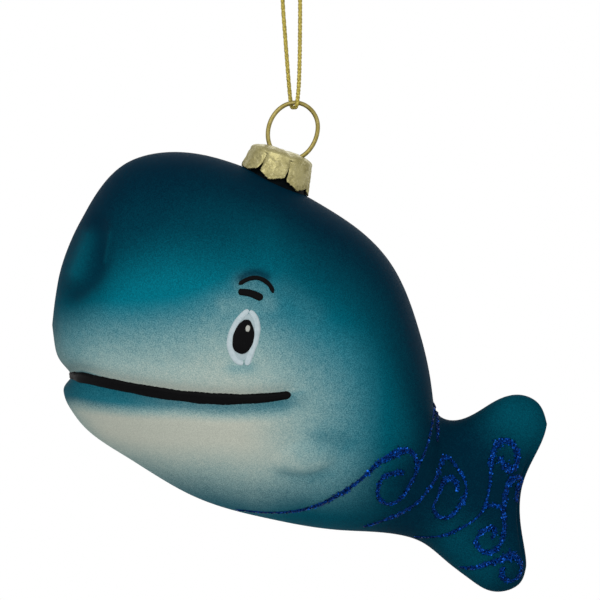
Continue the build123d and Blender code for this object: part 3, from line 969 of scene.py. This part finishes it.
class ORNAMENT_OT_brows(bpy.types.Operator):
    """Brush the two strokes over each eye"""

    bl_idname = "ornament.brows"
    bl_label = "Brows"

    def execute(self, context):
        coat = context.scene.whale.enamel
        skin = surface()
        enamel = line_enamel()
        for name, side in SIDES:
            parts = []
            for shares, width, seed in ((BROW, 0.95 * MM, 2), (LASH, 1.5 * MM, 5)):
                k = np.linspace(0, 1, 60)
                centres = laid(skin, side_line(shares, len(k)), side)
                taper = np.minimum(1, np.minimum(k / 0.07, (1 - k) / 0.09) + 0.12) ** 0.6
                swell = 1 + unsteady(centres, 700.0, 0.16, seed)
                parts.append(brush_ribbon(skin, centres, width * taper * swell, coat * 1.2 * taper))
            points, faces = joined(parts)
            made = piece(f"brow_strokes_{name}", points, faces, enamel, "glass")
            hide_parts(f"brow_{name}")
        return {"FINISHED"}


class ORNAMENT_OT_glitter(bpy.types.Operator):
    """Draw the scrolls in tinted glue and strew them with glitter flakes"""

    bl_idname = "ornament.glitter"
    bl_label = "Glitter Scrolls"

    def execute(self, context):
        glitter = context.scene.glitter
        skin = surface()
        glue, flakes = scroll_glue(), glitter_flakes()
        for name, side in SIDES:
            chance = random.Random(glitter.seed + side)
            beds, sparks = [], []
            for number, (shares, breadths) in enumerate(zip(SCROLLS, SCROLL_WIDTHS)):
                flat = side_line(shares, 400)
                length = np.linalg.norm(np.diff(flat, axis=0), axis=1).sum()
                count = max(12, int(length / (0.3 * MM)))
                k = np.linspace(0, 1, count)
                centres = laid(skin, along(flat, k), side)
                swell = 1 + unsteady(centres, 420.0, 0.35, number + 1)
                swell = swell + unsteady(centres, 1300.0, 0.6, number + 2)
                taper = np.minimum(1, np.minimum(k, 1 - k) * length / (0.5 * MM) + 0.3)
                breadth = np.interp(k, np.linspace(0, 1, len(breadths)), breadths)
                widths = glitter.width * MM * breadth * np.clip(swell, 0.25, 2.0) * taper
                beds.append(brush_ribbon(skin, centres, 0.75 * widths, glitter.height * taper))
                self.strew(skin, centres, widths, chance, glitter, sparks)
            points, faces = joined(beds)
            bed = piece(f"scroll_glue_{name}", points, faces, glue, "glass")
            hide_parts(f"glitter_{name}")
            points, faces = joined([spark[:2] for spark in sparks])
            strewn = piece(f"scroll_flakes_{name}", points, faces, flakes, "glass",
                           smooth=False)
            carry(strewn, "spark", [spark[2] for spark in sparks for _ in spark[0]])
        return {"FINISHED"}

    def strew(self, skin, centres, widths, chance, glitter, sparks):
        """Hexagonal flakes at random tilts, thickest along the middle of the line."""
        for k in range(len(centres) - 1):
            centre, normal = centres[k]
            ahead = centres[k + 1][0] - centre
            aside = normal.cross(ahead).normalized()
            area = ahead.length * widths[k] / MM ** 2
            number = int(area * glitter.density + chance.random())
            for _ in range(number):
                across = max(-1.25, min(1.25, chance.gauss(0, 0.48)))
                where = centre + ahead * chance.random() + aside * (across * widths[k] / 2)
                lift = glitter.height * max(0.0, 1 - across ** 2) + 0.06 * MM * chance.random()
                where, facing = settled(skin, where, normal, lift)
                tilt = Vector((chance.gauss(0, 0.42), chance.gauss(0, 0.42), chance.gauss(0, 0.42)))
                facing = (facing + tilt).normalized()
                one = facing.cross(Vector((0.3, 0.2, 0.9))).normalized()
                two = facing.cross(one)
                radius = glitter.flake * (0.6 + 0.7 * chance.random())
                start = chance.random() * math.pi
                corners = []
                for corner in range(6):
                    turn = start + corner * math.pi / 3
                    corners.append(where + (one * math.cos(turn) + two * math.sin(turn)) * radius)
                sparks.append((corners, [(0, 1, 2, 3, 4, 5)], chance.random()))


def scroll_glue():
    """Glue tinted blue under the flakes."""
    glitter = bpy.context.scene.glitter
    paint = Paint("scroll_glue", {"Specular IOR Level": 0.05})
    lumps = paint.grain(3200.0, 2.0)
    color = paint.mix(lumps, tuple(glitter.glue), tuple(glitter.blue))
    return paint.feed(color=color, roughness=0.4 + lumps * 0.3, normal=paint.bump(lumps, 0.8, 0.15 * MM))


def glitter_flakes():
    """Metallic blue flakes, at random from dark to blue, with a few painted bright as painted glints."""
    glitter = bpy.context.scene.glitter
    paint = Paint("glitter_flakes", {"Metallic": 1.0})
    spark = paint.carried("spark")
    color = paint.mix(paint.step(spark, 0.2, 0.8), tuple(glitter.glue), tuple(glitter.blue))
    # Painted glints: a few flakes are painted bright blue.
    color = paint.mix(paint.step(spark, 0.84, 0.98), color, (0.015, 0.13, 0.62, 1.0))
    return paint.feed(color=color, roughness=0.3 + spark * 0.2)


class ORNAMENT_OT_crown_cap(bpy.types.Operator):
    """Press the gold crown cap with its petals, dimples and wire holes"""

    bl_idname = "ornament.crown_cap"
    bl_label = "Crown Cap"

    def execute(self, context):
        fitting = context.scene.fitting
        skin = surface()
        steps, falls = 44, 26
        dome = self.dome(fitting)
        start = -dome[-1][1]
        parts = []
        for petal, (first, last) in enumerate(zip(SLITS, SLITS[1:])):
            columns = []
            for step in range(steps + 1):
                share = step / steps
                turn = math.radians(first + (last - first) * share)
                ends = PETAL_ENDS[petal] * MM * np.interp(share, *zip(*PETAL_EDGE))
                ragged = noise.noise(Vector((turn * 17.0, petal, 2.0)))
                ragged += noise.noise(Vector((turn * 45.0, petal, 5.0)))
                end = min(ends + 0.16 * MM * ragged, self.over_glass(skin, turn, fitting))
                line = list(dome)
                for k in range(1, falls + 1):
                    fall = start + (end - start) * k / falls
                    line.append((fitting.shoulder + fitting.flare * fall / fitting.skirt, -fall))
                columns.append([self.press(level, radius, share, first, last) for radius, level in line])
            points = [column[row] for row in range(len(columns[0])) for column in columns]
            parts.append((points, grid_faces(len(columns[0]), steps + 1)))
        points, faces = joined(parts)
        cap = piece("gold_crown_cap", points, faces, gold_sheet(), "cap")
        weld(cap, 0.012 * MM, self.pierce)
        thick = cap.modifiers.new("sheet", "SOLIDIFY")
        thick.thickness = fitting.sheet
        thick.offset = -1.0
        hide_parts("crown_cap")
        return {"FINISHED"}

    def over_glass(self, skin, turn, fitting):
        """How far below the shoulder a petal may reach and stay clear of the glass."""
        axis, across, _, shoulder = fitting_axes()
        out = across * math.sin(turn) - np.array((0, 1, 0)) * math.cos(turn)
        above = shoulder + out * (fitting.shoulder + fitting.flare)
        _, _, _, drop = skin.ray_cast(Vector(above), Vector(-axis))
        if drop is None:
            raise RuntimeError("no glass under the crown cap")
        return min(drop - 0.14 * MM, fitting.skirt + 0.6 * MM)

    def press(self, level, radius, share, first, last):
        """A point of the pressed sheet, with the fold, slit and dimple beside each petal and small dents."""
        axis, across, _, shoulder = fitting_axes()
        fall = max(0.0, -level)
        half = math.radians(last - first) / 2
        lean = 2 * share - 1
        slit = 0.13 * MM * soft_step(fall, 1.5 * MM, 3.2 * MM)
        turn = math.radians(first + last) / 2 + lean * (half - slit / max(radius, 1 * MM))
        beside = (1 - abs(lean)) * half * radius
        push = -0.26 * MM * hump(math.hypot(beside, fall - 0.35 * MM), 0.6 * MM)
        push -= 0.16 * MM * hump(beside, 0.3 * MM) * soft_step(fall, 0.2 * MM, 1.0 * MM)
        out = across * math.sin(turn) - np.array((0, 1, 0)) * math.cos(turn)
        where = shoulder + out * radius + axis * level
        dent = 0.15 * noise.noise(Vector(where * 700.0)) + 0.10 * noise.noise(Vector(where * 1900.0))
        skirt = soft_step(fall, 0.0, 0.9 * MM)
        push += dent * MM * (0.3 + 0.7 * skirt)
        return where + (out * skirt + axis * (1 - skirt)) * push

    def dome(self, fitting):
        """Radius and level along the cap's outline, from the apex down to the skirt."""
        line = []
        steps = 8
        for k in range(steps + 1):
            radius = (fitting.shoulder - 0.35 * fitting.round) * k / steps
            line.append((radius, fitting.dome * (1 - (radius / (1.05 * fitting.shoulder)) ** 3.5)))
        line.append((fitting.shoulder + 0.02 * fitting.round, 0.0))
        line.append((fitting.shoulder + 0.08 * fitting.round, -0.5 * fitting.round))
        places = smooth_line(line, 34)
        places[0, 0] = 0.02 * MM
        return [tuple(place) for place in places]

    def pierce(self, tidy):
        """Opens the two round holes for the wire's legs."""
        axis, across, ring, _ = fitting_axes()
        reach = 0.8 * MM
        for side in (-1, 1):
            leg = ring + across * side * wire_places()[3]
            near = []
            for vertex in list(tidy.verts):
                out = np.array(vertex.co) - leg
                out = out - axis * np.dot(out, axis)
                away = np.linalg.norm(out)
                if away < reach * 0.97:
                    tidy.verts.remove(vertex)
                elif away < reach * 2:
                    near.append((vertex, out, away))
            for vertex, out, away in near:
                if vertex.is_boundary:
                    vertex.co += Vector(out * (reach / away - 1))


def gold_sheet():
    """Pressed gold-coloured sheet, mottled at random with duller darker patches and brighter specks."""
    fitting = bpy.context.scene.fitting
    paint = Paint("gold_sheet", {"Metallic": 0.85})
    mottle = paint.grain(420.0, 4.0, 0.6)
    specks = paint.grain(2400.0, 2.0)
    dull = paint.step(mottle, 0.40, 0.64)
    color = paint.mix(dull * 0.6, tuple(fitting.sheet_gold), (0.25, 0.22, 0.09, 1.0))
    color = paint.mix(paint.step(specks, 0.56, 0.72) * 0.5, color, (0.58, 0.53, 0.32, 1.0))
    rough = 0.37 + dull * 0.2 + specks * 0.1
    return paint.feed(color=color, roughness=rough, normal=paint.bump(mottle * 0.6 + specks * 0.4, 0.8, 0.14 * MM))


class ORNAMENT_OT_hanger(bpy.types.Operator):
    """Bend the gold wire into a ring with two legs"""

    bl_idname = "ornament.hanger"
    bl_label = "Wire Hanger"

    def execute(self, context):
        fitting = context.scene.fitting
        axis, across, ring, _ = fitting_axes()
        half = fitting.legs / 2
        bend = wire_places()[2]
        leg = [(half, -bend - fitting.leg_length), (half, -bend - 4 * MM), (half, -bend - 0.7 * MM)]
        line = [(-x, y) for x, y in leg]
        for turn in np.linspace(1.27 * math.pi, -0.27 * math.pi, 60):
            fuller = 1 + 0.036 * hump(turn - 0.6, 0.5)
            line.append((OVAL[0] * math.cos(turn) * fuller,
                         (OVAL[1] * math.sin(turn) - (OVAL[1] - fitting.ring)) * fuller))
        line += reversed(leg)
        flat = smooth_line(line, 420)
        points = [ring + across * x + axis * y for x, y in flat]
        points, faces = tube(points, fitting.wire / 2, 20)
        wire = piece("gold_ring_wire", points, faces, gold_wire(), "hanger")
        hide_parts("hanger_wire")
        return {"FINISHED"}


def gold_wire():
    """Drawn gold-coloured wire with fine die marks."""
    fitting = bpy.context.scene.fitting
    paint = Paint("gold_wire", {"Metallic": 0.8})
    marks = paint.grain(1300.0, 4.0, 0.6)
    color = paint.mix(paint.step(marks, 0.42, 0.7) * 0.5, tuple(fitting.wire_gold), (0.42, 0.355, 0.14, 1.0))
    return paint.feed(color=color, roughness=0.3 + marks * 0.18, normal=paint.bump(marks, 0.2, 0.04 * MM))


def cord_route():
    """Control points of the cord, in metres, from tail to tail."""
    drop = bpy.context.scene.cord.drop / MM
    right = [
        (0.36, -0.62, -drop - 0.96),
        (0.62, -1.10, -drop - 0.28),
        (1.10, -0.88, -drop + 5.1),
        (1.95, -0.485, 0.0),
        (0.485, 0.0, 4.6),
        (0.485, 0.0, 7.6),
        (1.585, -1.1, 12.0),
    ]
    left = [(-x, -y, z) for x, y, z in reversed(right)]
    leans = [(x - 0.75 * hump(z + 2.0, 9.0), y, z) for x, y, z in left + right]
    return [tuple(value * MM for value in point) for point in leans]


def cord_curve(name, bevel):
    """The cord's own smooth line, round if it has a bevel."""
    curve = bpy.data.curves.new(name, "CURVE")
    curve.dimensions = "3D"
    curve.resolution_u = 24
    curve.bevel_depth = bevel
    curve.bevel_resolution = 4
    curve.use_fill_caps = True
    route = cord_route()
    spline = curve.splines.new("NURBS")
    spline.points.add(len(route) - 1)
    for point, place in zip(spline.points, route):
        point.co = (*place, 1.0)
    spline.order_u = 3
    spline.use_endpoint_u = True
    made = bpy.data.objects.new(name, curve)
    bpy.context.scene.collection.objects.link(made)
    return made


def braid(line, settings, radius):
    """Eight yarns wound both ways round a line, each over and under the next."""
    length = np.linalg.norm(np.diff(line, axis=0), axis=1).sum()
    count = max(60, int(length / (0.075 * MM)))
    line = along(line, np.linspace(0, 1, count))
    _, one, two = frames(line)
    way = np.linspace(0, length, count)
    spin = 2 * math.pi * way / settings.pitch
    yarn = radius * YARN_SHARE
    weave = radius * WEAVE_SHARE
    parts = []
    for hand in (1, -1):
        for carrier in range(4):
            turn = hand * spin + carrier * math.pi / 2
            reach = radius - yarn - weave + hand * weave * np.cos(2 * spin)
            path = line + reach[:, None] * (one * np.cos(turn)[:, None] + two * np.sin(turn)[:, None])
            parts.append(tube(path, yarn, 6))
    return joined(parts)


class ORNAMENT_OT_cord(bpy.types.Operator):
    """Braid the gold cord under the ring and knot it into a loop"""

    bl_idname = "ornament.cord"
    bl_label = "Cord Loop"

    def execute(self, context):
        settings = context.scene.cord
        radius = settings.diameter / 2
        yarn = gold_yarn()
        core = cord_curve("cord_core", radius * CORE_SHARE)
        core.data.materials.append(yarn)
        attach(core, "cord")
        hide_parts("hanging_cord")
        bare = cord_curve("cord_line", 0.0)
        read = bpy.data.meshes.new_from_object(bare)
        line = np.array([vertex.co for vertex in read.vertices])
        bpy.data.objects.remove(bare)
        bpy.data.meshes.remove(read)
        points, faces = braid(line, settings, radius)
        yarns = piece("cord_braid", points, faces, yarn, "cord")
        knot = self.knot(settings, radius, yarn)
        tips = self.tips(line, radius, yarn)
        return {"FINISHED"}

    def knot(self, settings, radius, yarn):
        """Three tight wraps round both strands."""
        low, high = (np.array(corner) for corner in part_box("cord_knot"))
        middle = (low + high) / 2
        reach = (high[0] - low[0]) / 2 - radius
        path = []
        for share in np.linspace(0, 1, 160):
            turn = share * 3.1 * 2 * math.pi
            wound = reach * (1 - 0.45 * max(0.0, 1 - min(share, 1 - share) / 0.08))
            level = low[2] + radius + (high[2] - low[2] - 2 * radius) * share
            path.append((middle[0] + wound * math.cos(turn), middle[1] + wound * math.sin(turn), level))
        parts = [braid(np.array(path), settings, radius), tube(path, radius * CORE_SHARE, 12)]
        points, faces = joined(parts)
        made = piece("cord_wraps", points, faces, yarn, "cord")
        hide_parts("cord_knot")
        return made

    def tips(self, line, radius, yarn):
        """Frayed yarn ends at the two tails."""
        chance = random.Random(11)
        parts = []
        for end, inner in ((line[0], line[6]), (line[-1], line[-7])):
            out = (end - inner) / np.linalg.norm(end - inner)
            for _ in range(FRAYED_FIBRES):
                stray = np.array([chance.gauss(0, 0.16) for _ in range(3)])
                start = end - out * 0.7 * MM + stray * radius
                stop = end - out * 0.25 * MM + stray * radius * 2.2
                bend = (start + stop) / 2 + stray * 0.05 * MM
                parts.append(tube([start, bend, stop], radius * FIBRE_SHARE, 5))
        points, faces = joined(parts)
        return piece("cord_tips", points, faces, yarn, "cord")


def gold_yarn():
    """Metallic yarn: bright film with darker gaps between its fibres."""
    settings = bpy.context.scene.cord
    paint = Paint("gold_yarn", {"Specular IOR Level": 0.5})
    film = paint.grain(5200.0, 3.0, 0.6)
    color = paint.mix(paint.step(film, 0.32, 0.62), (0.20, 0.15, 0.03, 1.0), tuple(settings.gold))
    color = paint.mix(paint.step(film, 0.6, 0.76) * 0.7, color, (0.8, 0.72, 0.35, 1.0))
    return paint.feed(color=color, roughness=0.28 + film * 0.25, metallic=0.55 + film * 0.3,
                      normal=paint.bump(film, 0.4, 0.06 * MM))


class ORNAMENT_OT_stage(bpy.types.Operator):
    """Set up the camera, the pale floor and the soft studio lamps"""

    bl_idname = "ornament.stage"
    bl_label = "Stage"

    def execute(self, context):
        settings = context.scene.stage
        middle_x, middle_z = spot(0.5, 0.6636)
        middle = Vector((middle_x, 0.0, middle_z))
        camera = bpy.data.cameras.new("camera")
        camera.sensor_width = 36.0
        camera.lens = camera.sensor_width * settings.distance / settings.view
        camera.clip_start = 0.01
        camera.clip_end = 20.0
        holder = bpy.data.objects.new("camera", camera)
        holder.location = middle - Vector((0, settings.distance, 0))
        holder.rotation_euler = (math.pi / 2, 0, 0)
        context.scene.collection.objects.link(holder)
        context.scene.camera = holder
        for name, away, power in (("key_lamp", (-0.22, -0.48, 0.24), settings.key),
                                  ("fill_lamp", (0.30, -0.52, 0.04), settings.fill),
                                  ("back_lamp", (0.10, 0.52, 0.24), settings.fill)):
            self.lamp(name, middle + Vector(away), middle, 0.40, power)
        self.floor(settings)
        self.sky(settings)
        context.scene.view_settings.view_transform = "Standard"
        return {"FINISHED"}

    def lamp(self, name, place, target, size, power):
        """A soft square lamp turned to a target."""
        data = bpy.data.lights.new(name, "AREA")
        data.energy = power
        data.size = size
        made = bpy.data.objects.new(name, data)
        made.location = place
        made.rotation_euler = (target - place).to_track_quat("-Z", "Y").to_euler()
        bpy.context.scene.collection.objects.link(made)

    def floor(self, settings):
        """A round pale sheet well below the ornament."""
        columns = 96
        points, rings = [], (0.0, 0.12, 0.28, 0.45)
        for ring in rings:
            for column in range(columns):
                turn = 2 * math.pi * column / columns
                points.append((ring * math.cos(turn), ring * math.sin(turn), settings.floor))
        mesh = bpy.data.meshes.new("floor")
        mesh.from_pydata(points, [], grid_faces(len(rings), columns, closed=True))
        paint = Paint("pale_floor", {"Specular IOR Level": 0.1})
        cloud = paint.grain(6.0, 2.0)
        mesh.materials.append(paint.feed(color=paint.mix(cloud, (0.86, 0.86, 0.86, 1.0), (0.9, 0.9, 0.9, 1.0)),
                                         roughness=0.8 + cloud * 0.1))
        made = bpy.data.objects.new("floor", mesh)
        bpy.context.scene.collection.objects.link(made)

    def sky(self, settings):
        """White where the camera, gloss and glass look at it, softer as light."""
        paint = Paint("studio", {"Color": (1, 1, 1, 1)}, "worlds", "Background")
        seen = 0.0
        for output in ("Is Camera Ray", "Is Glossy Ray", "Is Transmission Ray"):
            seen = paint.math("MAXIMUM", seen, paint.node("ShaderNodeLightPath", output=output))
        level = paint.node("ShaderNodeMapRange", None, {"Value": seen, "To Min": settings.sky, "To Max": 1.0})
        bpy.context.scene.world = paint.feed(strength=level)


class ORNAMENT_PT_workshop(bpy.types.Panel):
    """Buttons for the ornament's pieces"""

    bl_label = "Glass Whale Ornament"
    bl_idname = "ORNAMENT_PT_workshop"
    bl_space_type = "VIEW_3D"
    bl_region_type = "UI"
    bl_category = "Ornament"

    def draw(self, context):
        for operator in OPERATORS:
            self.layout.operator(operator.bl_idname)
        for group in GROUPS:
            settings = getattr(context.scene, group)
            box = self.layout.box()
            for name in settings.bl_rna.properties.keys():
                if name not in {"rna_type", "name"}:
                    box.prop(settings, name)


GROUPS = {"whale": WhaleSettings, "glitter": GlitterSettings, "fitting": FittingSettings, "cord": CordSettings,
          "stage": StageSettings}
OPERATORS = (ORNAMENT_OT_stage, ORNAMENT_OT_cord, ORNAMENT_OT_hanger, ORNAMENT_OT_glass_whale,
             ORNAMENT_OT_crown_cap, ORNAMENT_OT_mouth, ORNAMENT_OT_eyes, ORNAMENT_OT_brows, ORNAMENT_OT_glitter)


def register():
    for group in GROUPS.values():
        bpy.utils.register_class(group)
    for name, group in GROUPS.items():
        setattr(bpy.types.Scene, name, PointerProperty(type=group))
    for operator in OPERATORS:
        bpy.utils.register_class(operator)
    bpy.utils.register_class(ORNAMENT_PT_workshop)


def unregister():
    bpy.utils.unregister_class(ORNAMENT_PT_workshop)
    for operator in reversed(OPERATORS):
        bpy.utils.unregister_class(operator)
    for name in GROUPS:
        delattr(bpy.types.Scene, name)
    for group in reversed(list(GROUPS.values())):
        bpy.utils.unregister_class(group)


def main():
    register()
    bpy.ops.ornament.stage()
    bpy.ops.ornament.cord()
    bpy.ops.ornament.hanger()
    bpy.ops.ornament.glass_whale()
    bpy.ops.ornament.crown_cap()
    bpy.ops.ornament.mouth()
    bpy.ops.ornament.eyes()
    bpy.ops.ornament.brows()
    bpy.ops.ornament.glitter()


if __name__ == "__main__":
    main()
